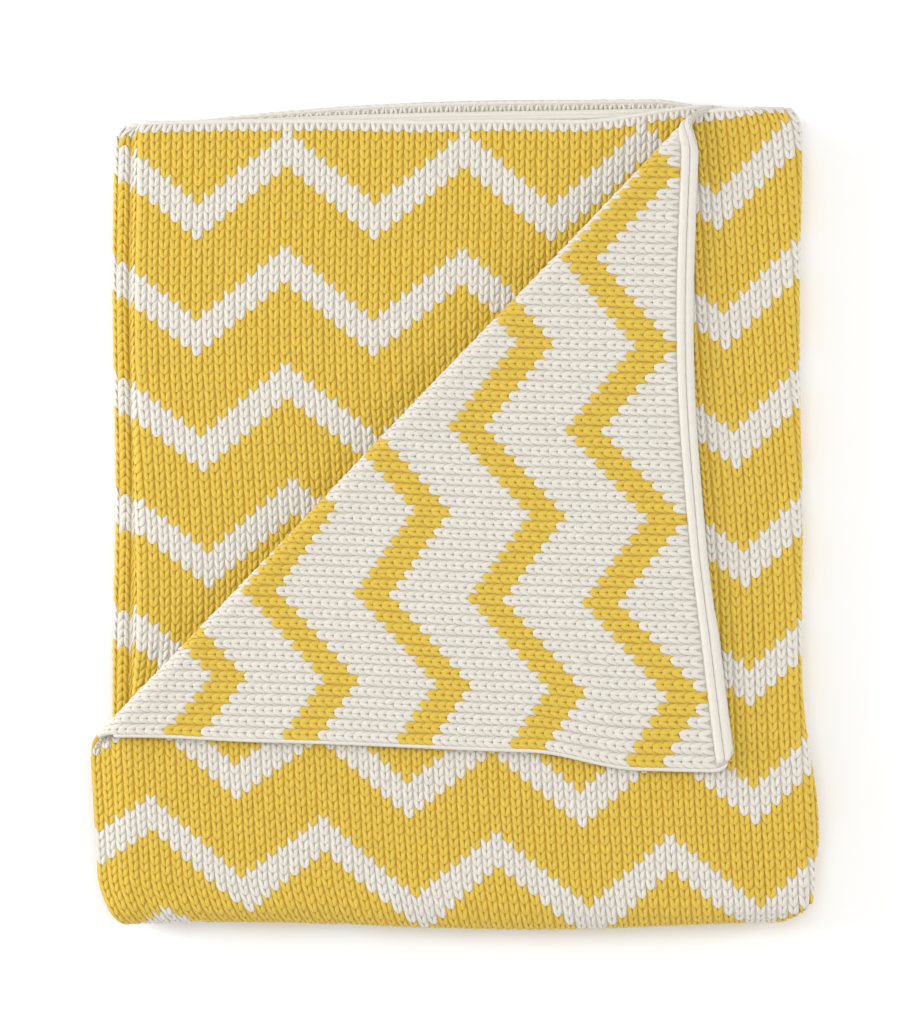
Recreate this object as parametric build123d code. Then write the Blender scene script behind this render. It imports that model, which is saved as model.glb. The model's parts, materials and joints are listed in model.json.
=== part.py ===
from build123d import *
import math
import os

# A knitted cotton throw, folded in thirds and then in half, with its top corner turned back.
#
# The cloth is laid face down, its left third is folded over to the right and its right third
# on top of that, and the long strip is then folded in half about the bottom edge.
# Seen from above, +X is right, +Y points from the bottom fold to the bordered ends, +Z is up.
# The layers are numbered from the table: right, left and middle third of the lower half, then
# middle, left and right third of the upper half, and last the corner that is turned back.
# The origin is on the table, under the middle of the stack's box.

# Driving dimensions, millimetres and degrees
folded_width = 332.0  # over the widest points, left to right
folded_length = 384.0  # from the bottom fold to the furthest bordered end
cloth = 4.2  # one layer of the double knit
ply_gap = 0.3  # air between layers that lie on each other
welt_width = 7.0  # plain white border at both ends of the cloth
lower_left_inset = 6.5  # left fold of the lower half, inside the widest point
upper_left_inset = 16.0  # left fold of the upper half, inside the widest point
right_inset = 6.5  # right folds, inside the bulge at the lower right corner
left_third_reach = 285.0  # left third, from its fold to its hidden selvage
hidden_selvage_inset = 12.0  # selvage of the lowest layer, inside the lower left fold
upper_end_inset = 3.0  # ends of the upper half, back from the furthest end
upper_left_end_inset = 6.0  # end of the visible left third, back from the furthest end
selvage_lean = 4.4  # lean of the top third's selvage, its upper end to the left
turn_height = 89.5  # from the bottom fold up to where the turned back edge leaves the selvage
turn_end = 278.0  # from the widest point on the left to where that edge meets the border
corner_reach = 294.0  # from the widest point on the left to the tip of the corner
corner_height = 76.0  # from the bottom fold up to the tip of the corner
border_waist = 277.5  # from the widest point on the left to the corner's border at mid height
border_waist_height = 215.0  # from the bottom fold up to that waist
tip_radius = 10.0  # rounding of the corner's tip
swing_clearance = 0.3  # between the turning edge and the cloth that swings about it

# Levels and places that follow from them
pitch = cloth + ply_gap
left = -folded_width / 2
right = folded_width / 2
bottom = -folded_length / 2
far_end = folded_length / 2
stack_middle = 3 * pitch - ply_gap / 2
fold_axis_y = bottom + stack_middle
tight = ply_gap / 2  # inner radius of a fold with nothing inside it
around_one = tight + pitch / 2  # inner radius of a fold round one layer
lower_left = left + lower_left_inset
upper_left = left + upper_left_inset
right_fold = right - right_inset
tight_reach = tight + cloth
wide_reach = around_one + cloth
upper_end = far_end - upper_end_inset
upper_left_end = far_end - upper_left_end_inset


def level(number):
    """Height of the underside of a layer."""
    return number * pitch


def slab(points, number):
    """One flat layer of cloth with the given outline."""
    outline = make_face(Polyline(*points, close=True))
    return extrude(Pos(0, 0, level(number)) * outline, amount=cloth)


def panel(x_low, x_high, y_low, y_high, number):
    """A rectangular layer of cloth."""
    return slab([(x_low, y_low), (x_high, y_low), (x_high, y_high), (x_low, y_high)], number)


def fold(start, end, inner, hollow):
    """Cloth that turns back on itself about the line from start to end, round a hollow side."""
    along = Vector(*end) - Vector(*start)
    section = Plane(origin=start, x_dir=hollow, z_dir=along)
    reach = inner + cloth
    half = Circle(reach) - Circle(inner) - Pos(reach, 0) * Rectangle(2 * reach, 3 * reach)
    return extrude(section * half, amount=along.length)


def side_fold(x, y_high, first_layer, inner, hollow_x):
    """A fold along Y at the side of the stack, from the bottom fold's axis to an end."""
    z = level(first_layer) + cloth + inner
    return fold((x, fold_axis_y, z), (x, y_high, z), inner, (hollow_x, 0, 0))


def bottom_fold(x_low, x_high, inner):
    """A fold along X at the bottom of the stack, round the hinge line of the upper half."""
    start = (x_low, fold_axis_y, stack_middle)
    end = (x_high, fold_axis_y, stack_middle)
    return fold(start, end, inner, (0, 1, 0))


def third(x_low, x_high, end, number):
    """The patterned part and the white border of one straight third."""
    knit = panel(x_low, x_high, fold_axis_y, end - welt_width, number)
    welt = panel(x_low, x_high, end - welt_width, end, number)
    return knit, rounded_end(welt, end)


def rounded_end(welt, end):
    """A border with its free edge rolled round."""
    edges = welt.edges().filter_by(Axis.X).filter_by_position(Axis.Y, end - 0.01, end + 0.01)
    return fillet(edges, 0.45 * cloth)


nodes = {}

# Lower half: it lies on the table and carries the rest
left_bend = lower_left + tight_reach
right_bend = right_fold - wide_reach
nodes["lower_right_panel"], nodes["lower_right_welt"] = third(
    lower_left + hidden_selvage_inset, right_bend, far_end, 0
)
nodes["lower_left_panel"], nodes["lower_left_welt"] = third(
    left_bend, left_bend + left_third_reach, far_end, 1
)
nodes["lower_middle_panel"], nodes["lower_middle_welt"] = third(
    left_bend, right_bend, far_end, 2
)
nodes["lower_left_fold"] = side_fold(left_bend, far_end, 1, tight, 1)
nodes["lower_right_fold"] = side_fold(right_bend, far_end, 0, around_one, -1)

# Upper half: it turns about the bottom fold
upper_bend = upper_left + tight_reach
nodes["upper_middle_panel"], nodes["upper_middle_welt"] = third(
    upper_bend, right_bend, upper_end, 3
)
nodes["upper_left_panel"], nodes["upper_left_welt"] = third(
    upper_bend, upper_bend + left_third_reach, upper_left_end, 4
)
nodes["upper_left_fold"] = side_fold(upper_bend, upper_left_end, 3, tight, 1)
nodes["upper_right_fold"] = side_fold(right_bend, upper_end, 3, around_one, -1)

# The turned back edge runs from the selvage to the border; the cloth swings about a line
# one fold's reach inside it
turn_edge = Vector(left, bottom + turn_height)
turn_along = (Vector(left + turn_end, upper_end) - turn_edge).normalized()
turn_inward = Vector(turn_along.Y, -turn_along.X)
turn_start = turn_edge + turn_inward * tight_reach


def on_turn(y, inset=0.0):
    """Point of the swing line at height y, moved inward by inset."""
    base = turn_start + turn_inward * inset
    return (base.X + (y - base.Y) * turn_along.X / turn_along.Y, y)


def on_selvage(y):
    """Point of the top third's leaning selvage at height y."""
    return (turn_start.X - (y - turn_start.Y) * math.tan(math.radians(selvage_lean)), y)


# Top third: what is left of it beside and below the turned back corner
border_line = upper_end - welt_width
nodes["upper_right_panel"] = slab(
    [
        on_selvage(fold_axis_y),
        (right_bend, fold_axis_y),
        (right_bend, border_line),
        on_turn(border_line),
        on_turn(turn_start.Y),
    ],
    5,
)
nodes["upper_right_welt"] = rounded_end(
    slab(
        [
            on_turn(border_line),
            (right_bend, border_line),
            (right_bend, upper_end),
            on_turn(upper_end),
        ],
        5,
    ),
    upper_end,
)

# The corner that is turned back, with the reverse of the cloth up
tip = (left + corner_reach, bottom + corner_height)
waist = (left + border_waist, bottom + border_waist_height)
flap_top = on_turn(upper_end, swing_clearance)
corner = slab([on_turn(turn_start.Y, swing_clearance), tip, waist, flap_top], 6)
tip_edge = corner.edges().filter_by(Axis.Z).sort_by_distance((tip[0], tip[1], level(6)))[0]
corner = fillet(tip_edge, tip_radius)

# The white border takes the corner's right edge: everything right of the outline moved in by
# one border's width
inner_waist = (waist[0] - welt_width, waist[1])
inner_top = (flap_top[0] - welt_width, flap_top[1])
slope = (tip[0] - waist[0]) / (waist[1] - tip[1])
inner_foot = (inner_waist[0] + slope * (waist[1] - bottom), bottom)
border = slab([inner_foot, (right, bottom), (right, upper_end), inner_top, inner_waist], 6)
nodes["corner_panel"] = corner - border
nodes["corner_welt"] = corner & border

# Folds that change shape as the cloth opens
nodes["bottom_fold_inner"] = bottom_fold(upper_left, right_fold, tight)
nodes["bottom_fold_middle"] = bottom_fold(upper_left, upper_bend + left_third_reach, tight + pitch)
nodes["bottom_fold_outer"] = bottom_fold(on_selvage(fold_axis_y)[0], right, tight + 2 * pitch)
turn_z = level(6) - ply_gap / 2
turn_high = on_turn(upper_end - tight_reach)
nodes["corner_fold"] = fold(
    (turn_start.X, turn_start.Y, turn_z),
    (turn_high[0], turn_high[1], turn_z),
    tight,
    (turn_inward.X, turn_inward.Y, 0),
)

os.makedirs("parts", exist_ok=True)
for name, solid in nodes.items():
    export_step(solid, f"parts/{name}.step")

print(f"hinge of the upper half: y {fold_axis_y:.3f}, z {stack_middle:.3f}")
print(f"swing line of the corner: {turn_start.X:.3f}, {turn_start.Y:.3f}, {turn_z:.3f}")
print(f"swing line direction: {turn_along.X:.5f}, {turn_along.Y:.5f}")
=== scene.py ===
import json
import math

import bpy
import numpy as np
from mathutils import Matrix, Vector


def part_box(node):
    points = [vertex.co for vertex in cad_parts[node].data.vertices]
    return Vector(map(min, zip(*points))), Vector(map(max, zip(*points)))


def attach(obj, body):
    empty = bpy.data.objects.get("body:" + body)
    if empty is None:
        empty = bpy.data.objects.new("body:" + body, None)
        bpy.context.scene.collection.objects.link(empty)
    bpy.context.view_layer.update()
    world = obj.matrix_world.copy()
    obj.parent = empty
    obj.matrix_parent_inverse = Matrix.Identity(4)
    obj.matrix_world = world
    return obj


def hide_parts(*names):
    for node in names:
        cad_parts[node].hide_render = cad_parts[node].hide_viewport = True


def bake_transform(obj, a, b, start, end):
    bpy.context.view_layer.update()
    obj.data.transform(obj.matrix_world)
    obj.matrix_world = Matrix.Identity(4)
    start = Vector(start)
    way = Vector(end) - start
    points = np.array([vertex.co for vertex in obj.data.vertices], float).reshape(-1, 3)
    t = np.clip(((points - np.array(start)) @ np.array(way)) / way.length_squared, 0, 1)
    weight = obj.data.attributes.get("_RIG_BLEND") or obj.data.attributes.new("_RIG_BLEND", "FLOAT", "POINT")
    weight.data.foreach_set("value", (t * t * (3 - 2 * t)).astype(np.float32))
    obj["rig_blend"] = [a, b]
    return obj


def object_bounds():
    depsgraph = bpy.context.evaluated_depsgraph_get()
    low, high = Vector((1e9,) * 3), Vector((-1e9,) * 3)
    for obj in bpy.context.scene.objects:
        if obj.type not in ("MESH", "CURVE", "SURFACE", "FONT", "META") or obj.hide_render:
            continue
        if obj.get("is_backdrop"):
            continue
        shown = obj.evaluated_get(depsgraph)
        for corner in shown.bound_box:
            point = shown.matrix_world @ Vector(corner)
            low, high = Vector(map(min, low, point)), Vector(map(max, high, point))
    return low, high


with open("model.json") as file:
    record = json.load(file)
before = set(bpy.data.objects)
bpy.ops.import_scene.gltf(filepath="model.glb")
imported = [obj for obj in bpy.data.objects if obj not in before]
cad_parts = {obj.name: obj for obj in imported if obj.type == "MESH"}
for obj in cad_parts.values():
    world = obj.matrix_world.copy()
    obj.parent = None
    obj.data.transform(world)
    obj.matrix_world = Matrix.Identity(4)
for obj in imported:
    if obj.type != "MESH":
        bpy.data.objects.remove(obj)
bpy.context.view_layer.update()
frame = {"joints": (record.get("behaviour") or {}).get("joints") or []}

# A knitted throw, folded in thirds and then in half, with its top corner turned back.
# Lengths are millimetres until a mesh is made; stitches are counted in wales (i, across the
# cloth, from the top third's selvage) and courses (j, along it, from the upper end).


def box_mm(node):
    """Lowest and highest corners of a CAD node, in millimetres."""
    low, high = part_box(node)
    return np.array(low) * 1000, np.array(high) * 1000


def joint_mm(name):
    """A hinge's point, in millimetres, and its axis."""
    joint = next(j for j in frame["joints"] if j["name"] == name)
    return np.array(joint["pos_m"]) * 1000, np.array(joint["axis"])


# ---------------------------------------------------------------- places from the frame
PITCH = box_mm("upper_left_panel")[0][2] - box_mm("upper_middle_panel")[0][2]
HINGE = joint_mm("half_open")[0]
BEND_Y, MIDDLE_Z = HINGE[1], HINGE[2]
RIGHT_BEND = box_mm("upper_right_fold")[0][0]
LEFT_BEND = box_mm("upper_left_fold")[1][0]
LOWER_LEFT_BEND = box_mm("lower_left_fold")[1][0]
FAR_END = box_mm("lower_middle_welt")[1][1]
SWING, swing_axis = joint_mm("corner_turn")
TURN_ALONG = -swing_axis[:2] / np.hypot(*swing_axis[:2])
TURN_IN = np.array([TURN_ALONG[1], -TURN_ALONG[0]])

# ---------------------------------------------------------------- the knit
WALES = 192  # stitches across the cloth
COURSES = 176  # rows from the first patterned row to the last
REPEAT_WALES = 16
REPEAT_COURSES = 13
WHITE_COURSES = 4
VALLEY = 61.5  # wale of a valley near the right folds
WALE = 5.0  # mm
COURSE = 4.2  # mm
WELT_COURSES = 1.65  # the plain white end, as it lies on the turned corner
END_COURSES = 1.05  # the same where it rolls under
TURN_RADIUS = 3.2  # the corner's fold is a loose roll
TURN_START = TURN_RADIUS - PITCH / 2  # where it starts, inside the swing line
TURN_CLOTH = 15.1  # cloth taken up by it
TURN_MARGIN = 1.0  # flat cloth each side of it that belongs to the same piece
WIDE_ROLL = PITCH  # the fold between top and middle third goes round the left third
TIGHT_ROLL = PITCH / 2
LEFT_THIRD_VALLEY = VALLEY + 5 * REPEAT_WALES
LAST_WALE_OF_TOP = 67.0
FIRST_WALE_OF_LEFT = 136.0
CORE_FRONT = 0.9  # half thickness of the cloth under its stitches
CORE_BACK = 1.9  # the same where no stitches are modelled behind
YARN = 2.35  # width of a leg of a stitch
OVERLAP_COURSES = 1.4  # how far a stitch reaches over its neighbours
JITTER = 0.05  # how far a stitch strays from its place
HALVINGS = 40  # when a course or a wale is searched for
COVERED_X, COVERED_Y = 104.0, -98.0  # the turned back corner covers what is left of and above
SEEN_LEFT_X = -135.0  # the lower left third shows left of this
SEEN_UNDER = 14.0  # how far under the diagonal's roll the left third's stitches go on


def smooth(t):
    """Rises from 0 to 1 with level ends."""
    t = np.clip(t, 0.0, 1.0)
    return t * t * (3 - 2 * t)


def top_plane(i, j):
    """Where the top third would lie if its corner were not turned back. It leans to the left,
    and the knit is drawn out towards its end and its free corner."""
    a, b = (np.minimum(i, LAST_WALE_OF_TOP) - VALLEY) / 10, j / 10
    x = 115.7 + 50.0 * (i - VALLEY) / 10 + 4.0 * b + 0.05 * a * a - 0.14 * b * b
    y = 181.7 + 5.1 * a - 42.6 * b + 0.8 * a * a - 0.47 * a * b + 0.055 * b * b
    from_end = j + WELT_COURSES
    of_corner = 1 - smooth((i - 55) / 5)
    y = y + 3.5 * np.exp(-from_end / 4) * of_corner - 2.4 * np.exp(-from_end / 5) * (1 - of_corner)
    x = x - 7.0 * np.clip(1 - i / 14, 0, 1) ** 2 * (1 - smooth((j - 8) / 12))
    y = y + 3.3 * np.clip(1 - i / 18, 0, 1) * np.clip(1 - from_end / 24, 0, 1) ** 2
    x = x - 2.2 * np.exp(-i / 5) * (1 - smooth((j - 50) / 16))
    y = y - 10 * np.exp((j - 66) / 16 - np.maximum(i, 0) / 2.5) * (1 - smooth((j - 64) / 10))
    return x, y


def left_plane(i, j):
    """Where the left third lies, across and along the stack."""
    x = -119.4 + 5.1 * (i - LEFT_THIRD_VALLEY) + 5.5 * smooth((j - 20) / 40)
    lifted = smooth((x - 55) / 60) * smooth(1 - j / 14)
    near_end = np.exp(-np.maximum(j, 0) / 8)
    y = 175.8 - 4.12 * j + 6.0 * lifted + 1.2 * smooth((x + 20) / 40) * near_end
    return x, y


MIDDLE_WIDTH = RIGHT_BEND - LEFT_BEND
ACROSS_LEFT = RIGHT_BEND + math.pi * WIDE_ROLL + MIDDLE_WIDTH + math.pi * TIGHT_ROLL - LEFT_BEND


def unrolled(i, j):
    """Distance across the folds, and y, of a stitch on the upper half."""
    top_x, top_y = top_plane(i, j)
    left_x, left_y = left_plane(i, j)
    share = smooth((i - LAST_WALE_OF_TOP) / (FIRST_WALE_OF_LEFT - LAST_WALE_OF_TOP))
    y = top_y + (left_y - top_y) * share + 6.0 * share * (1 - share)
    return top_x + (ACROSS_LEFT + left_x - top_x) * share, y


def solve(value, low, high, target):
    """The course at which a rising function of the course reaches a target."""
    low, high = np.array(low, float), np.array(high, float)
    for _ in range(HALVINGS):
        middle = (low + high) / 2
        below = value(middle) < target
        low, high = np.where(below, middle, low), np.where(below, high, middle)
    return (low + high) / 2


grid_i = np.linspace(-2, WALES + 2, 400)
grid_bend = solve(lambda j: -unrolled(grid_i, j)[1], grid_i * 0, grid_i * 0 + 120, -BEND_Y)


def bend_course(i):
    """The course at which the cloth comes to the bottom fold."""
    return np.interp(i, grid_i, grid_bend)


def turn_depth(i, j):
    """How far inside the swing line a stitch of the top third would lie."""
    x, y = top_plane(i, j)
    return (x - SWING[0]) * TURN_IN[0] + (y - SWING[1]) * TURN_IN[1]


def turn_course(i, depth):
    """The course at which wale i has that depth."""
    i = np.asarray(i, float)
    return solve(lambda j: turn_depth(i, j), i * 0 - 4, i * 0 + 95, depth)


def across_to_section(across, left_bend, right_bend):
    """x, and height above the middle of the stack, of a point across the folds."""
    width = right_bend - left_bend
    a = np.clip((across - right_bend) / WIDE_ROLL, 0, math.pi)
    start_left = right_bend + math.pi * WIDE_ROLL + width
    b = np.clip((across - start_left) / TIGHT_ROLL, 0, math.pi)
    middle = np.clip(across - right_bend - math.pi * WIDE_ROLL, 0, width)
    left_part = np.maximum(across - start_left - math.pi * TIGHT_ROLL, 0)
    x = np.minimum(across, right_bend) + WIDE_ROLL * np.sin(a) - middle
    x = x - TIGHT_ROLL * np.sin(b) + left_part
    height = 1.5 * PITCH + WIDE_ROLL * np.cos(a) + TIGHT_ROLL * (1 - np.cos(b))
    return x, height


def across_folds(i, j):
    """Distance across the folds, y short of the bottom fold, and height above the middle."""
    bend = bend_course(i)
    across, y = unrolled(i, np.minimum(j, bend))
    # below the bottom fold the selvage of the top third runs inside the stack
    across = across + 14 * smooth((j - bend + 3) / 11) * np.clip(1 - i / VALLEY, 0, 1)
    return across, y, across_to_section(across, LEFT_BEND, RIGHT_BEND)[1]


def past_bottom(i, j, height):
    """The shares of the bottom fold and of the lower half that lie before a stitch."""
    bend = bend_course(i)
    courses = math.pi * height / COURSE
    left = COURSES - bend - courses
    return np.clip((j - bend) / courses, 0, 1), np.maximum(j - bend - courses, 0) / left


def side_bends(y, angle, lower, left_over):
    """Where the folds on the left and right start. They wander a little: they bulge near the
    bottom right, and are drawn in round the bottom."""
    bulge = 8.5 * np.exp(-(((y + 146) / 45) ** 2)) * (1 - smooth(left_over * 6))
    right_bend = RIGHT_BEND + bulge - 9 * np.sin(angle) ** 2
    left_bend = LEFT_BEND + (LOWER_LEFT_BEND - LEFT_BEND) * lower + 4 * np.sin(angle) ** 2
    return left_bend, right_bend


def soft_ends(x, y, z, from_end, left_bend, height, angle):
    """Rounds the folded corners at the ends; the cloth's end comes down with them."""
    at_right = smooth((x - RIGHT_BEND + 30) / 30)
    at_left = smooth((left_bend + 26 - x) / 26)
    x = x - 12 * at_right * np.clip(1 - from_end / 17, 0, 1) ** 3
    x = x + 8 * at_left * np.clip(1 - from_end / 10, 0, 1) ** 3
    fallen = smooth((x - 112) / 38) * (angle < math.pi / 2)
    on_upper = smooth(height / PITCH - 1.2)
    past = np.clip((6.9 - from_end) / 4.4, 0, 1)
    upper_end = 0.7 * fallen * np.exp(-np.maximum(from_end - 6.9, 0) / 8)
    upper_end = upper_end + past * (1.3 * smooth((x - 108) / 14) * (angle < 1) - 4.5 * fallen)
    y = y + upper_end * on_upper - 10 * fallen * np.exp(-from_end / 8) * (1 - on_upper)
    return x, y, z - 2 * fallen * np.exp(-from_end / 8) * on_upper


def turn_back(x, y, z, on_top, droop):
    """Turns back what lies beyond the diagonal: a loose roll, then cloth that lies face down.
    The rest droops at its end."""
    depth = (x - SWING[0]) * TURN_IN[0] + (y - SWING[1]) * TURN_IN[1]
    along = (x - SWING[0]) * TURN_ALONG[0] + (y - SWING[1]) * TURN_ALONG[1]
    turned = np.where(on_top, np.maximum(TURN_START - depth, 0), 0)
    roll = math.pi * np.clip(turned / TURN_CLOTH, 0, 1)
    over = np.maximum(turned - TURN_CLOTH, 0)
    depth = TURN_START - TURN_RADIUS * np.sin(roll) + over
    rise = TURN_RADIUS * (1 - np.cos(roll))
    rise = rise - (2 * TURN_RADIUS - PITCH + 0.2) * (1 - np.exp(-over / 14))
    x = np.where(turned > 0, SWING[0] + along * TURN_ALONG[0] + depth * TURN_IN[0], x)
    y = np.where(turned > 0, SWING[1] + along * TURN_ALONG[1] + depth * TURN_IN[1], y)
    return x, y, z + rise * (turned > 0) - droop * (1 - smooth(turned / TURN_CLOTH))


def place(i, j):
    """The middle of the cloth's thickness at wale i and course j, in millimetres."""
    i, j = np.broadcast_arrays(np.asarray(i, float), np.asarray(j, float))
    across, y, height = across_folds(i, j)
    in_bend, left_over = past_bottom(i, j, height)
    angle, lower = math.pi * in_bend, smooth(in_bend)
    left_bend, right_bend = side_bends(y, angle, lower, left_over)
    x, height = across_to_section(across, left_bend, right_bend)

    end = FAR_END - 7 - 11.5 * np.clip((90 - x) / 226, 0, 1) ** 2 - 6 * smooth((x - 90) / 40)
    y = y - height * np.sin(angle) + left_over * (end - BEND_Y)
    z = MIDDLE_Z + height * np.cos(angle)
    from_end = COURSE * np.where(lower > 0.5, COURSES - j, j) + WELT_COURSES * COURSE
    x, y, z = soft_ends(x, y, z, from_end, left_bend, height, angle)
    droop = 0.09 * z * np.exp(-((from_end / 9) ** 2))
    on_top = (across < right_bend) & (angle == 0) & (i < LAST_WALE_OF_TOP)
    x, y, z = turn_back(x, y, z, on_top, droop)

    # the top third hangs over the left edge of the layers under it
    overhang = smooth((LEFT_BEND - 4 - x) / 18) * (height > 2 * PITCH) * np.cos(angle / 2)
    z = z - 3.5 * overhang
    return warped(np.stack([x, y, z], -1))


def warped(point):
    """The slow unevenness of a soft stack: the same for all its layers, so none meet."""
    x, y, z = point[..., 0], point[..., 1], point[..., 2]
    share = z / 28  # none on the table, all of it near the top
    swell = 0.2 * np.sin(x / 37 + 1.1) * np.sin(y / 45 + 0.4) + 0.1 * np.sin(x / 21 - y / 29 + 2)
    foot = smooth((BEND_Y - y) / 11)
    free = 1 - np.exp(-(((y - BEND_Y) / 20) ** 2))
    new_x = x + 0.7 * np.sin(y / 31 + 0.6 + z / 15)
    new_y = y + 0.7 * np.sin(x / 39 + 2.2 + z / 15) * free - 1.6 * np.sin(x / 44 + 0.9) * foot
    return np.stack([new_x, new_y, z + swell * share], -1)


def surface(i, j, out):
    """A point that stands out millimetres from the cloth's middle, on its front if positive."""
    step = 0.02
    here = place(i, j)
    outward = np.cross(place(i, j + step) - here, place(i + step, j) - here)
    outward /= np.maximum(np.linalg.norm(outward, axis=-1, keepdims=True), 1e-12)
    return here + outward * np.asarray(out)[..., None]


# ---------------------------------------------------------------- colours of the chevrons
def is_yellow(wale, course, front=True):
    """Whether a stitch is yellow. The reverse has the colours the other way round."""
    wale, course = np.floor(wale), np.floor(course)
    half = REPEAT_WALES // 2
    from_valley = np.abs((wale - math.floor(VALLEY) + half) % REPEAT_WALES - half)
    white = (course - (half - from_valley)) % REPEAT_COURSES < WHITE_COURSES
    yellow = ~white if front else white
    return yellow & (course >= 0) & (course < COURSES)


# ---------------------------------------------------------------- strands of yarn
def tube_faces(rings, sides):
    """The faces between rings of points that follow each other along a tube."""
    faces = []
    for r in range(rings - 1):
        for k in range(sides):
            n = (k + 1) % sides
            faces.append([r * sides + k, r * sides + n, (r + 1) * sides + n, (r + 1) * sides + k])
    return faces


def strand(path, width, height, rings, sides):
    """A closed piece of yarn along a path in one stitch's cell: points (wales, courses,
    millimetres out), their place round and along the yarn, and its faces."""
    # the rings lie closer together towards the tips
    t = (1 - np.cos(math.pi * (np.arange(rings) + 0.5) / rings)) / 2
    t = (t - t[0]) / (t[-1] - t[0]) * 0.88 + 0.06
    turn = np.arange(sides) / sides * 2 * math.pi
    step = 1e-3
    a, b, c = path(t)
    a2, b2, _ = path(t + step)
    run = np.stack([(a2 - a) * WALE, (b2 - b) * COURSE])
    run /= np.hypot(*run)
    swell = pointed(t)
    across = width / 2 * swell[:, None] * np.cos(turn)
    up = height / 2 * swell[:, None] * np.sin(turn)
    ring_points = np.stack(
        [
            a[:, None] - across * run[1][:, None] / WALE,
            b[:, None] + across * run[0][:, None] / COURSE,
            c[:, None] + up,
        ],
        -1,
    ).reshape(-1, 3)
    ends = np.stack(path(np.array([0.0, 1.0])), -1)
    points = np.concatenate([ring_points, ends])
    turn_share, t_share = np.meshgrid(turn / (2 * math.pi), t)
    where = np.stack([turn_share.ravel(), t_share.ravel()], -1)
    where = np.concatenate([where, [[0.5, 0], [0.5, 1]]])
    faces = tube_faces(rings, sides)
    last = (rings - 1) * sides
    first_tip, last_tip = rings * sides, rings * sides + 1
    for k in range(sides):
        n = (k + 1) % sides
        faces.append([first_tip, n, k])
        faces.append([last_tip, last + k, last + n])
    return points, where, faces


def pointed(t):
    """Narrow at its foot, and drawn to a point where it goes behind the next stitch."""
    foot = np.sqrt(1 - np.clip(1 - t / 0.42, 0, 1) ** 2)
    return foot * (1 - 0.6 * smooth((t - 0.5) / 0.6))


def leg(side, bottom=1.32, length=1.52):
    """The path of one leg of a stitch: from its foot at the bottom of the V, up and out, to
    where it goes down behind the next stitch."""

    def path(t):
        out = 0.05 + 0.45 * t - 0.12 * t * t
        return 0.5 + side * out, bottom - length * t, 1.25 - 0.75 * t**2

    return path


def link(side, b, c):
    """The path of one leg of a link of the chain along the cloth's end."""

    def path(t):
        return -0.2 + 1.3 * t, b + side * (0.08 + 0.17 * (1 - (1 - t) ** 2)), c - 0.3 * t * t

    return path


def unit(paths, width, height, rings, sides):
    """The strands of one stitch."""
    return [strand(path, width, height, rings, sides) for path in paths]


CELLS = {}  # the wale and course of every point of each mesh
FINE_STITCH = unit([leg(-1), leg(1)], YARN, 1.4, 4, 6)
FLAT_STITCH = unit([leg(-1), leg(1)], 2.75, 1.1, 4, 6)
PLAIN_STITCH = unit([leg(-1), leg(1)], YARN, 1.5, 3, 4)


def stitches(name, wales, courses, units, out=1, front=True, plain=False):
    """One mesh of the given stitches: cells by lowest wale and course; out is 1 on the front
    and -1 on the reverse."""
    rng = np.random.default_rng(len(wales) * 7 + int(out > 0))
    wales, courses = np.asarray(wales, float), np.asarray(courses, float)
    n = len(wales)
    yellow = is_yellow(wales, courses, front) & (not plain)
    positions, tints, uvs, loops, sizes = [], [], [], [], []
    start = 0
    cell_places = []
    for s, (points, where, faces) in enumerate(units):
        k = len(points)
        jitter = rng.normal(0, JITTER, (n, 1, 3)) * [0.35, 0.5, 1.2]
        grow = 1 + rng.normal(0, 0.03, (n, 1))
        local = points[None] + jitter
        i = wales[:, None] + 0.5 + (local[..., 0] - 0.5) * grow
        j = courses[:, None] + local[..., 1]
        positions.append(surface(i, j, out * local[..., 2]).reshape(-1, 3))
        cell_places.append(np.stack([i, j], -1).reshape(-1, 2))
        tint = np.zeros((n, k, 4), np.float32)
        tint[..., 0] = yellow[:, None]
        tint[..., 1] = rng.random((n, 1))
        # painted shade: the lower a point of a leg lies, the more of the shaded colour it takes
        tint[..., 2] = np.clip(1 - local[..., 2] / 2.1, 0, 1)
        tint[..., 3] = 1
        tints.append(tint.reshape(-1, 4))
        cell_u = (wales[:, None] + (s + 0.05 + 0.9 * where[None, :, 0]) / len(units)) / (WALES + 4)
        cell_v = (courses[:, None] + 0.05 + 0.9 * where[None, :, 1] + 3) / (COURSES + 8)
        uvs.append(np.stack([cell_u, cell_v], -1).reshape(-1, 2))
        corners = np.array([v for face in faces for v in (face if out > 0 else face[::-1])])
        loops.append((start + np.arange(n)[:, None] * k + corners[None]).ravel())
        sizes.append(np.tile([len(face) for face in faces], n))
        start += n * k
    obj = new_mesh(name, np.concatenate(positions), np.concatenate(loops), np.concatenate(sizes))
    paint(obj, np.concatenate(tints), "POINT")
    lay_uv(obj, np.concatenate(uvs)[np.concatenate(loops)])
    CELLS[name] = np.concatenate(cell_places)
    return obj


# ---------------------------------------------------------------- meshes
def new_mesh(name, points_mm, loops, sizes):
    """An object from points in millimetres, its faces' corners in a row and their sizes."""
    mesh = bpy.data.meshes.new(name)
    mesh.vertices.add(len(points_mm))
    mesh.vertices.foreach_set("co", (points_mm * 0.001).astype(np.float32).ravel())
    mesh.loops.add(len(loops))
    mesh.loops.foreach_set("vertex_index", loops.astype(np.int32))
    mesh.polygons.add(len(sizes))
    starts = np.concatenate([[0], np.cumsum(sizes)[:-1]])
    mesh.polygons.foreach_set("loop_start", starts.astype(np.int32))
    mesh.polygons.foreach_set("use_smooth", np.ones(len(sizes), bool))
    mesh.update(calc_edges=True)
    mesh.validate()
    obj = bpy.data.objects.new(name, mesh)
    bpy.context.scene.collection.objects.link(obj)
    return obj


def paint(obj, tint, domain):
    """Red: how yellow; green: the stitch's own random tone; blue: how much painted shade, more in the
    hollows between the stitches.
    """
    layer = obj.data.color_attributes.new("Knit", "FLOAT_COLOR", domain)
    layer.data.foreach_set("color", tint.astype(np.float32).ravel())


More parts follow.
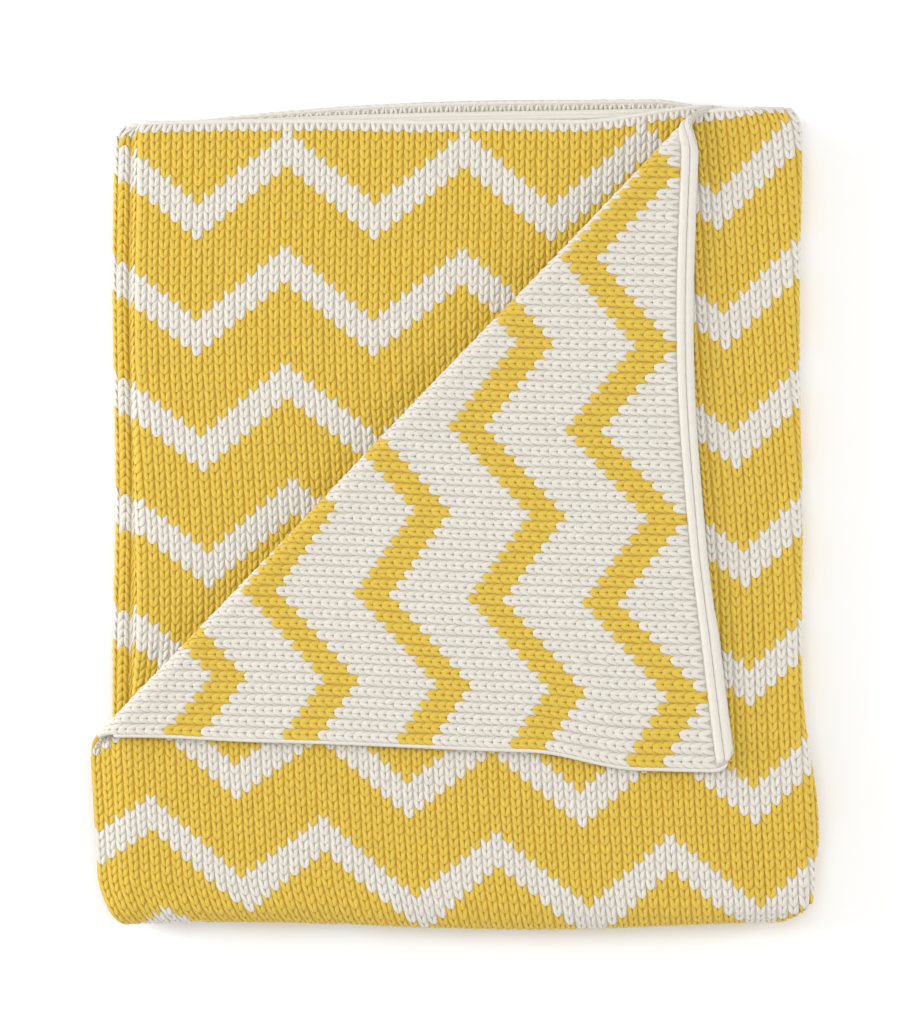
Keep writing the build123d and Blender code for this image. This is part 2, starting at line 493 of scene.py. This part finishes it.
def lay_uv(obj, corners):
    """The texture place of each corner: every stitch of a mesh has its own."""
    layer = obj.data.uv_layers.new(name="OFBake")
    layer.data.foreach_set("uv", corners.astype(np.float32).ravel())


def cell_grid(i_lines, low, high, step):
    """The cells between two courses of each wale, low(i) and high(i): the wale and course of
    each point, and faces that keep to the cells of the stitches, cut by the edge."""
    low_j, high_j = low(i_lines), np.maximum(high(i_lines), low(i_lines))
    first, last = math.floor(low_j.min() / step), math.ceil(high_j.max() / step)
    rows = np.arange(first, last + 1) * step
    i = np.broadcast_to(i_lines, (len(rows), len(i_lines)))
    j = np.clip(rows[:, None], low_j, high_j)
    keys = np.round(np.stack([i.ravel(), j.ravel()], -1), 4)
    flat, index = np.unique(keys, axis=0, return_inverse=True)
    index = index.reshape(i.shape)
    a, b = index[:-1, :-1].ravel(), index[:-1, 1:].ravel()
    c, d = index[1:, 1:].ravel(), index[1:, :-1].ravel()
    faces = []
    for corners in np.stack([a, d, c, b], -1).tolist():
        kept = list(dict.fromkeys(corners))
        if len(kept) > 2:
            faces.append(kept)
    used = np.unique(np.concatenate(faces))
    renumber = np.full(len(flat), -1)
    renumber[used] = np.arange(len(used))
    flat = flat[used]
    return flat, [[int(renumber[v]) for v in face] for face in faces]


def cloth(name, i_lines, low, high, back=CORE_BACK, step=0.5):
    """A closed sheet of cloth between two courses of each wale. Its front and its reverse lie
    at their own distances from its middle; back may be worked out from the place."""
    flat, faces = cell_grid(i_lines, low, high, step)
    n = len(flat)
    edges = dict.fromkeys(edge for face in faces for edge in zip(face, face[1:] + face[:1]))
    rim = [edge for edge in edges if (edge[1], edge[0]) not in edges]
    all_faces = list(faces)
    all_faces += [[v + n for v in reversed(face)] for face in faces]
    all_faces += [[end, start, start + n, end + n] for start, end in rim]
    behind_middle = back(*flat.T) if callable(back) else np.full(n, back)
    points = np.concatenate(
        [surface(*flat.T, np.full(n, CORE_FRONT)), surface(*flat.T, -behind_middle)]
    )
    sizes = np.array([len(face) for face in all_faces])
    loops = np.array([v for face in all_faces for v in face])
    both = np.tile(flat, (2, 1))
    of_face = np.repeat(np.arange(len(sizes)), sizes)
    centre = np.stack([np.bincount(of_face, both[loops, k]) / sizes for k in (0, 1)], -1)
    is_back = np.arange(len(sizes)) >= len(faces)
    yellow = np.where(is_back, is_yellow(*centre.T, False), is_yellow(*centre.T, True))
    # painted shade: the blue of 1 gives the whole sheet under the stitches the full shaded colour
    tint = np.ones((len(loops), 4))
    tint[:, 0] = yellow[of_face]
    tint[:, 1] = 0.5
    obj = new_mesh(name, points, loops, sizes)
    paint(obj, tint, "CORNER")
    u, v = both[:, 0] / (WALES + 4) / 2, (both[:, 1] + 3) / (COURSES + 8)
    lay_uv(obj, np.stack([u[loops] + 0.5 * is_back[of_face], v[loops]], -1))
    CELLS[name] = both
    return obj


def roll(name, i, j, height, width, thickness, out=1):
    """A smooth white tube along a line of cells on one side of the cloth: its middle stands
    height millimetres out. It swells a little at every stitch, and its ends are round."""
    i, j = np.broadcast_arrays(np.asarray(i, float), np.asarray(j, float))
    rings, sides = len(i), 10
    run = np.stack([np.gradient(i) * WALE, np.gradient(j) * COURSE])
    spacing = np.hypot(*run)
    run /= spacing
    along = np.cumsum(spacing) - spacing[0]
    from_tip = np.minimum(along, along[-1] - along) + 0.15
    round_end = np.sqrt(1 - np.clip(1 - from_tip / (width / 2), 0, 1) ** 2)
    swell = (1 + 0.05 * np.cos(2 * math.pi * (i + j)))[:, None] * round_end[:, None]
    turn = np.arange(sides) / sides * 2 * math.pi
    across = width / 2 * swell * np.cos(turn)
    up = thickness / 2 * swell * np.sin(turn)
    ring_i = i[:, None] - across * run[1][:, None] / WALE
    ring_j = j[:, None] + across * run[0][:, None] / COURSE
    flat = np.stack([ring_i.ravel(), ring_j.ravel()], -1)
    points = surface(*flat.T, out * (height + up.ravel()))
    faces = tube_faces(rings, sides)
    faces.append(list(reversed(range(sides))))
    faces.append([(rings - 1) * sides + k for k in range(sides)])
    faces = faces if out > 0 else [face[::-1] for face in faces]
    sizes = np.array([len(face) for face in faces])
    loops = np.array([v for face in faces for v in face])
    obj = new_mesh(name, points, loops, sizes)
    tint = np.zeros((len(points), 4))
    tint[:, 1] = 0.5
    # painted shade: the tube takes more of the shaded colour on the side that faces the cloth, none on its
    # outer side
    tint[:, 2] = np.clip(0.25 - 0.25 * np.tile(np.sin(turn), rings), 0, 1)
    tint[:, 3] = 1
    paint(obj, tint, "POINT")
    v = np.repeat(np.arange(rings) / rings, sides)
    u = np.tile(np.arange(sides) / sides * 0.02, rings) + texture_place(name)
    lay_uv(obj, np.stack([u, v], -1)[loops])
    CELLS[name] = flat
    return obj


def texture_place(name):
    """A place across the texture that belongs to a name."""
    return (sum(ord(letter) * (k + 1) for k, letter in enumerate(name)) % 47) / 50


# ---------------------------------------------------------------- which stitches show
all_i, all_j = (grid.ravel() for grid in np.meshgrid(np.arange(WALES), np.arange(COURSES)))
cell_across, _, cell_height = across_folds(all_i + 0.5, all_j + 0.5)
cell_depth = turn_depth(all_i + 0.5, all_j + 0.5)
cell_at = place(all_i + 0.5, all_j + 0.5)
over_diagonal = (cell_at[:, 0] - SWING[0]) * TURN_IN[0] + (cell_at[:, 1] - SWING[1]) * TURN_IN[1]

ON_LEFT = RIGHT_BEND + math.pi * WIDE_ROLL + MIDDLE_WIDTH
top = cell_across < RIGHT_BEND
left = cell_across > ON_LEFT + math.pi * TIGHT_ROLL
flat_middle = (cell_across > RIGHT_BEND + math.pi * WIDE_ROLL) & (cell_across < ON_LEFT)
side_roll = ~top & ~left & ~flat_middle
before_bend = bend_course(all_i + 0.5) - all_j - 0.5
upper = before_bend > OVERLAP_COURSES
lower = -before_bend - math.pi * cell_height / COURSE > OVERLAP_COURSES
bottom = ~upper & ~lower
turned_back = upper & top & (cell_depth < TURN_START - TURN_CLOTH)
rolled = upper & top & (cell_depth < TURN_START) & ~turned_back
covered = (cell_at[:, 0] < COVERED_X) & (cell_at[:, 1] > COVERED_Y)
under_corner = upper & top & covered & (cell_depth > 4)
near_lower_left = lower & left & (cell_at[:, 0] < SEEN_LEFT_X)
end_of_middle = upper & flat_middle & (all_j < 2)


def make_stitches(name, shown, shape, out=1, front=True):
    """The stitches of the cells that are shown, of one shape."""
    return stitches(name, all_i[shown], all_j[shown], shape, out, front)


def wales_between(low, high, step=0.5):
    """Lines along the wales, on the half stitches and at both ends."""
    inner = np.arange(math.ceil(low / step), math.floor(high / step) + 1) * step
    return np.unique(np.concatenate([[low], inner, [high]]))


def behind(i, j):
    """Half the thickness behind: thin at the end of the middle third, whose reverse shows."""
    across = unrolled(i, np.minimum(j, bend_course(i)))[0]
    on_middle = (across > RIGHT_BEND + math.pi * WIDE_ROLL) & (across < ON_LEFT)
    return np.where(on_middle & (j < 3), CORE_FRONT, CORE_BACK)


def end_of_bend(i):
    """The course at which the bottom fold ends and the lower half starts."""
    far = bend_course(i) + 14.0
    start = bend_course(i)
    return solve(lambda j: past_bottom(i, j, across_folds(i, j)[2])[0], start, far, 0.99999)


def steady(course):
    """The same course for every wale."""
    return lambda i: np.full_like(np.asarray(i, float), course)


def turn_end(depth, course):
    """The wale at which that depth meets a course near the end of the cloth."""
    low, high = 40.0, 66.0
    for _ in range(HALVINGS):
        middle = (low + high) / 2
        low, high = (middle, high) if turn_course(middle, depth) > course else (low, middle)
    return (low + high) / 2


# ---------------------------------------------------------------- the cloth and its stitches
SPLIT = VALLEY + 0.5  # the wale where the diagonal comes to the upper end
TURNED = TURN_START - TURN_CLOTH - TURN_MARGIN
UNTURNED = TURN_START + TURN_MARGIN
made = {}

made["lower_cloth"] = [
    cloth("lower_cloth", wales_between(0, WALES), end_of_bend, steady(COURSES)),
    make_stitches("lower_stitches", lower & ~side_roll & ~left, PLAIN_STITCH),
    make_stitches("lower_edge_stitches", lower & (side_roll | near_lower_left), FINE_STITCH),
]
made["upper_folds"] = [
    cloth("upper_folds_cloth", wales_between(SPLIT, WALES), steady(0), bend_course, back=behind),
    make_stitches("middle_stitches", upper & flat_middle, PLAIN_STITCH),
    make_stitches("middle_reverse_stitches", end_of_middle, FLAT_STITCH, -1, False),
    make_stitches("side_stitches", upper & (all_i >= SPLIT) & (side_roll | top), FINE_STITCH),
    make_stitches("left_stitches", upper & left & (over_diagonal < SEEN_UNDER), FINE_STITCH),
]
made["top_third"] = [
    cloth(
        "top_third_cloth",
        wales_between(0, SPLIT),
        lambda i: np.maximum(turn_course(i, UNTURNED), 0),
        bend_course,
    ),
    make_stitches(
        "top_stitches",
        upper & (all_i < SPLIT) & ~turned_back & ~rolled & ~under_corner,
        FINE_STITCH,
    ),
    make_stitches(
        "covered_stitches",
        upper & (all_i < SPLIT) & ~turned_back & ~rolled & under_corner,
        PLAIN_STITCH,
    ),
]
made["bottom_fold"] = [
    cloth("bottom_fold_cloth", wales_between(0, WALES), bend_course, end_of_bend, step=0.5),
    make_stitches("bottom_stitches", bottom & (top | side_roll), FINE_STITCH),
    make_stitches("bottom_inner_stitches", bottom & flat_middle, PLAIN_STITCH),
]
end_flap = turn_end(TURNED, 0.0)
made["corner_fold"] = [
    cloth(
        "corner_fold_cloth",
        wales_between(0, SPLIT, 0.25),
        lambda i: np.maximum(turn_course(i, TURNED), -WELT_COURSES),
        lambda i: np.maximum(turn_course(i, UNTURNED), -WELT_COURSES),
        back=CORE_FRONT,
        step=0.25,
    ),
    make_stitches("corner_fold_stitches", rolled, FLAT_STITCH, -1, False),
    make_stitches("corner_fold_inner_stitches", rolled, PLAIN_STITCH),
]
made["corner_flap"] = [
    cloth(
        "corner_flap_cloth",
        wales_between(0, end_flap),
        steady(0),
        lambda i: np.maximum(turn_course(i, TURNED), 0),
        back=CORE_FRONT,
    ),
    make_stitches("corner_reverse_stitches", turned_back, FLAT_STITCH, -1, False),
    make_stitches("corner_front_stitches", turned_back, PLAIN_STITCH),
]

# ---------------------------------------------------------------- the plain white ends
END_LEG = 1.3  # courses that a leg of the plain row takes
FRONT_ROW = unit([leg(side, 0.3, END_LEG) for side in (-1, 1)], YARN, 1.5, 4, 6)
LOWER_ROW = unit([leg(side, 1.3, END_LEG) for side in (-1, 1)], YARN, 1.5, 3, 4)
LOWER_CHAIN = unit([link(side, 1.3, 1.0) for side in (-1, 1)], 1.7, 1.5, 3, 4)


def end_stitches(name, low, high, course, shape):
    """A row of plain white stitches along an end."""
    wales = np.arange(math.ceil(low), math.floor(high))
    return stitches(name, wales, np.full(len(wales), course), shape, plain=True)


def end_roll(name, low, high, course, height, width, thickness, out=1):
    """A plain white tube along an end."""
    wales = np.arange(low, high + 0.2, 0.25)
    return roll(name, wales, np.full(len(wales), course), height, width, thickness, out)


middle_wales = all_i[end_of_middle]
flap_courses = np.arange(-WELT_COURSES + 0.6, turn_course(np.array([0.0]), TURNED)[0], 0.25)
made["corner_flap"].append(
    roll("corner_selvage", 0 * flap_courses - 0.1, flap_courses, 0.2, 1.9, 2.6, -1)
)
made["upper_folds"] += [
    end_roll("middle_end_ridge", middle_wales.min(), middle_wales.max(), -0.25, 1.0, 2.6, 1.6, -1),
    end_roll("middle_end_edge", middle_wales.min(), middle_wales.max(), -0.75, 0.5, 2.4, 1.8, -1),
]
made["lower_end_welt"] = [
    cloth(
        "lower_end_welt_cloth",
        wales_between(0, WALES),
        steady(COURSES),
        steady(COURSES + WELT_COURSES),
    ),
    end_stitches("lower_end_row", 0, WALES, COURSES, LOWER_ROW),
    end_stitches("lower_end_chain", 0, WALES, COURSES, LOWER_CHAIN),
    end_roll("lower_end_edge", 0.3, WALES - 0.3, COURSES + 1.4, 0, 2.4, 3.2),
]
made["upper_end_welt"] = [
    cloth(
        "upper_end_welt_cloth",
        wales_between(SPLIT, WALES),
        steady(-END_COURSES),
        steady(0),
        back=behind,
    ),
    end_stitches("upper_end_row", SPLIT, WALES, 0, FRONT_ROW),
    end_roll("upper_end_edge", SPLIT - 0.5, WALES - 0.3, -0.9, 0.2, 2.4, 3.0),
]
made["corner_end_welt"] = [
    cloth(
        "corner_end_welt_cloth",
        wales_between(0, turn_end(TURNED, -WELT_COURSES)),
        steady(-WELT_COURSES),
        lambda i: np.clip(turn_course(i, TURNED), -WELT_COURSES, 0),
        back=CORE_FRONT,
    ),
    end_roll("corner_end_ridge", 0.3, end_flap, -0.45, 1.0, 3.2, 1.9, -1),
    end_roll("corner_end_rim", 0.1, end_flap, -1.15, 0.7, 2.8, 1.8, -1),
    end_stitches("corner_end_row", 0, end_flap, 0, FRONT_ROW),
    end_roll("corner_end_edge", 0.2, end_flap, -1.4, 0, 2.2, 2.6),
]
made["corner_fold"] += [
    end_roll("corner_fold_ridge", end_flap - 0.5, SPLIT + 1, -0.45, 1.0, 3.4, 1.9, -1),
    end_roll("corner_fold_rim", end_flap - 0.5, SPLIT + 1, -1.1, 0.6, 3.0, 2.0, -1),
    end_stitches("corner_fold_row", end_flap - 1, SPLIT, 0, FRONT_ROW),
]


# ---------------------------------------------------------------- yarn
def linear(red, green, blue):
    """A colour given as it looks, 0 to 255, as a renderer's linear colour."""
    parts = np.array([red, green, blue]) / 255
    return (*np.where(parts < 0.04045, parts / 12.92, ((parts + 0.055) / 1.055) ** 2.4), 1.0)


# each second colour is painted shade: the darker, stronger colour given to the hollows between the stitches
YELLOW, SHADED_YELLOW = linear(210, 181, 69), linear(194, 152, 42)
WHITE, SHADED_WHITE = linear(214, 209, 199), linear(199, 193, 181)


def cotton(name, level=1.0):
    """Soft spun cotton: the stitch's own colour, a little uneven, with painted shade that makes it
    darker and stronger in the hollows between the stitches, and its fuzz."""
    material = bpy.data.materials.new(name)
    material.use_nodes = True
    nodes, links = material.node_tree.nodes, material.node_tree.links
    shader = nodes["Principled BSDF"]
    knit = nodes.new("ShaderNodeAttribute")
    knit.attribute_name = "Knit"
    split = nodes.new("ShaderNodeSeparateColor")
    links.new(knit.outputs["Color"], split.inputs["Color"])

    def mix(first, second, factor):
        node = nodes.new("ShaderNodeMix")
        node.data_type = "RGBA"
        links.new(factor, node.inputs[0])
        for socket, value in ((node.inputs[6], first), (node.inputs[7], second)):
            if isinstance(value, tuple):
                socket.default_value = value
            else:
                links.new(value, socket)
        return node.outputs[2]

    def math_node(operation, first, *numbers):
        node = nodes.new("ShaderNodeMath")
        node.operation = operation
        links.new(first, node.inputs[0])
        for socket, value in zip(node.inputs[1:], numbers):
            if isinstance(value, float):
                socket.default_value = value
            else:
                links.new(value, socket)
        return node.outputs[0]

    def noise(scale, detail):
        node = nodes.new("ShaderNodeTexNoise")
        node.inputs["Scale"].default_value = scale
        node.inputs["Detail"].default_value = detail
        links.new(where.outputs["Object"], node.inputs["Vector"])
        return node.outputs["Fac"]

    where = nodes.new("ShaderNodeTexCoord")
    # painted shade: the colour goes over to the shaded colours the more the Knit attribute's blue says a
    # point lies low between stitches
    painted_shade = math_node("POWER", split.outputs["Blue"], 1.6)
    colour = mix(
        mix(WHITE, YELLOW, split.outputs["Red"]),
        mix(SHADED_WHITE, SHADED_YELLOW, split.outputs["Red"]),
        painted_shade,
    )
    uneven = math_node("MULTIPLY_ADD", split.outputs["Green"], 0.05, 0.9 * level)
    uneven = math_node("MULTIPLY_ADD", noise(260.0, 2.0), 0.1, uneven)
    tinted = nodes.new("ShaderNodeVectorMath")
    tinted.operation = "SCALE"
    links.new(colour, tinted.inputs[0])
    links.new(uneven, tinted.inputs["Scale"])
    links.new(tinted.outputs[0], shader.inputs["Base Color"])

    # fuzz
    bump = nodes.new("ShaderNodeBump")
    bump.inputs["Strength"].default_value = 0.4
    bump.inputs["Distance"].default_value = 0.0003
    links.new(noise(2600.0, 3.0), bump.inputs["Height"])
    links.new(bump.outputs["Normal"], shader.inputs["Normal"])
    shader.inputs["Roughness"].default_value = 0.92
    shader.inputs["Specular IOR Level"].default_value = 0.2
    shader.inputs["Sheen Weight"].default_value = 0.15
    shader.inputs["Sheen Roughness"].default_value = 0.6
    return material


CHEVRON = cotton("chevron_knit")
REVERSE = cotton("reverse_knit", 0.97)
WELT = cotton("white_welt")

FOLDS = {
    "lower_cloth": (
        "lower_right_panel", "lower_left_panel", "lower_middle_panel",
        "lower_left_fold", "lower_right_fold",
    ),
    "lower_end_welt": ("lower_right_welt", "lower_left_welt", "lower_middle_welt"),
    "upper_folds": (
        "upper_middle_panel", "upper_left_panel", "upper_left_fold", "upper_right_fold",
    ),
    "top_third": ("upper_right_panel",),
    "upper_end_welt": ("upper_middle_welt", "upper_left_welt", "upper_right_welt"),
    "bottom_fold": ("bottom_fold_inner", "bottom_fold_middle", "bottom_fold_outer"),
    "corner_fold": ("corner_fold",),
    "corner_flap": ("corner_panel",),
    "corner_end_welt": ("corner_welt",),
}
BODIES = {
    "lower_cloth": "lower_half",
    "lower_end_welt": "lower_half",
    "upper_folds": "upper_half",
    "top_third": "upper_half",
    "upper_end_welt": "upper_half",
    "corner_flap": "corner",
    "corner_end_welt": "corner",
}
SLOTS = {
    "lower_end_welt": ("white_welt", WELT),
    "upper_end_welt": ("white_welt", WELT),
    "corner_end_welt": ("white_welt", WELT),
    "corner_flap": ("reverse_knit", REVERSE),
    "corner_fold": ("reverse_knit", REVERSE),
}


def bend_between(obj, first, second, share):
    """The piece bends between two bodies; share is how far each point follows the second."""
    low, high = (Vector(corner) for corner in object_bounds())
    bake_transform(obj, first, second, low, high)
    weights = obj.data.attributes["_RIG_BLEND"]
    weights.data.foreach_set("value", np.clip(share, 0, 1).astype(np.float32))


for group, objects in made.items():
    slot_name, material = SLOTS.get(group, ("chevron_knit", CHEVRON))
    for obj in objects:
        obj.data.materials.append(material)
        cells = CELLS[obj.name]
        if group == "bottom_fold":
            in_bend = past_bottom(*cells.T, across_folds(*cells.T)[2])[0]
            bend_between(obj, "lower_half", "upper_half", 1 - in_bend)
        elif group == "corner_fold":
            turned = TURN_START - turn_depth(*cells.T)
            bend_between(obj, "upper_half", "corner", turned / TURN_CLOTH)
        else:
            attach(obj, BODIES[group])
    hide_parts(*FOLDS[group])


def flat_size(obj):
    """Width and length of the cloth before it was folded, in metres."""
    i, j = CELLS[obj.name].T
    return (i.max() - i.min()) * WALE / 1000, (j.max() - j.min()) * COURSE / 1000


def flat_area(obj):
    """The area of cloth before it was folded, in square metres: half of a closed sheet's."""
    mesh = obj.data
    i, j = CELLS[obj.name].T
    total = 0.0
    for polygon in mesh.polygons:
        corner = list(polygon.vertices)
        a, b = i[corner], j[corner]
        total += abs(np.dot(a, np.roll(b, 1)) - np.dot(b, np.roll(a, 1))) / 2
    return total / 2 * WALE * COURSE / 1e6


LEAST_SHARE = 0.301  # of its width by length that a cut sheet may have
HEMS = {
    "lower_cloth": "lower_end_welt",
    "upper_folds": "upper_end_welt",
    "corner_flap": "corner_end_welt",
}
for group, objects in made.items():
    if group in HEMS.values():
        continue
    width, length = flat_size(objects[0])
    area = flat_area(objects[0])
    # the corner's fold is a band along the diagonal, not along the wales
    if group == "corner_fold":
        width = (TURN_CLOTH + 2 * TURN_MARGIN) / 1000
        length = area / width
    area = min(max(area, LEAST_SHARE * width * length), width * length)

# ---------------------------------------------------------------- floor, light and camera
FLOOR_HALF = 4.0
FLOOR_Z = -0.0002
floor_corners = [(-1, -1), (1, -1), (1, 1), (-1, 1)]
floor_mesh = bpy.data.meshes.new("floor")
floor_mesh.from_pydata(
    [(x * FLOOR_HALF, y * FLOOR_HALF, FLOOR_Z) for x, y in floor_corners], [], [(0, 1, 2, 3)]
)
floor = bpy.data.objects.new("floor", floor_mesh)
bpy.context.scene.collection.objects.link(floor)
floor_material = bpy.data.materials.new("floor")
floor_material.use_nodes = True
floor_shader = floor_material.node_tree.nodes["Principled BSDF"]
floor_shader.inputs["Base Color"].default_value = (0.9, 0.9, 0.9, 1)
floor_shader.inputs["Roughness"].default_value = 1.0
floor_mesh.materials.append(floor_material)
floor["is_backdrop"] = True

world = bpy.data.worlds.new("studio")
world.use_nodes = True
world.node_tree.nodes["Background"].inputs["Color"].default_value = (1, 1, 1, 1)
world.node_tree.nodes["Background"].inputs["Strength"].default_value = 0.6
bpy.context.scene.world = world


LAMP_SIZE = 0.9


def soft_lamp(name, at, power):
    """A soft square lamp that is turned to the origin."""
    lamp = bpy.data.lights.new(name, "AREA")
    lamp.size = LAMP_SIZE
    lamp.energy = power
    obj = bpy.data.objects.new(name, lamp)
    obj.location = at
    obj.rotation_euler = (-Vector(at)).to_track_quat("-Z", "Y").to_euler()
    bpy.context.scene.collection.objects.link(obj)


soft_lamp("top_lamp", (0, 0.25, 1.7), 9.5)
soft_lamp("left_lamp", (-1.5, 0.35, 0.6), 22.5)
soft_lamp("right_lamp", (1.5, 0.1, 0.6), 10.5)
soft_lamp("front_lamp", (-0.1, -1.5, 0.5), 4.5)

CAMERA_ABOVE = 1.962  # over the top third
CAMERA_X = 0.00184
camera_data = bpy.data.cameras.new("camera")
camera_data.lens = 150
camera = bpy.data.objects.new("camera", camera_data)
camera.location = (CAMERA_X, 0.0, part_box("upper_right_panel")[1][2] + CAMERA_ABOVE)
bpy.context.scene.collection.objects.link(camera)
bpy.context.scene.camera = camera

bpy.context.scene.view_settings.view_transform = "Standard"
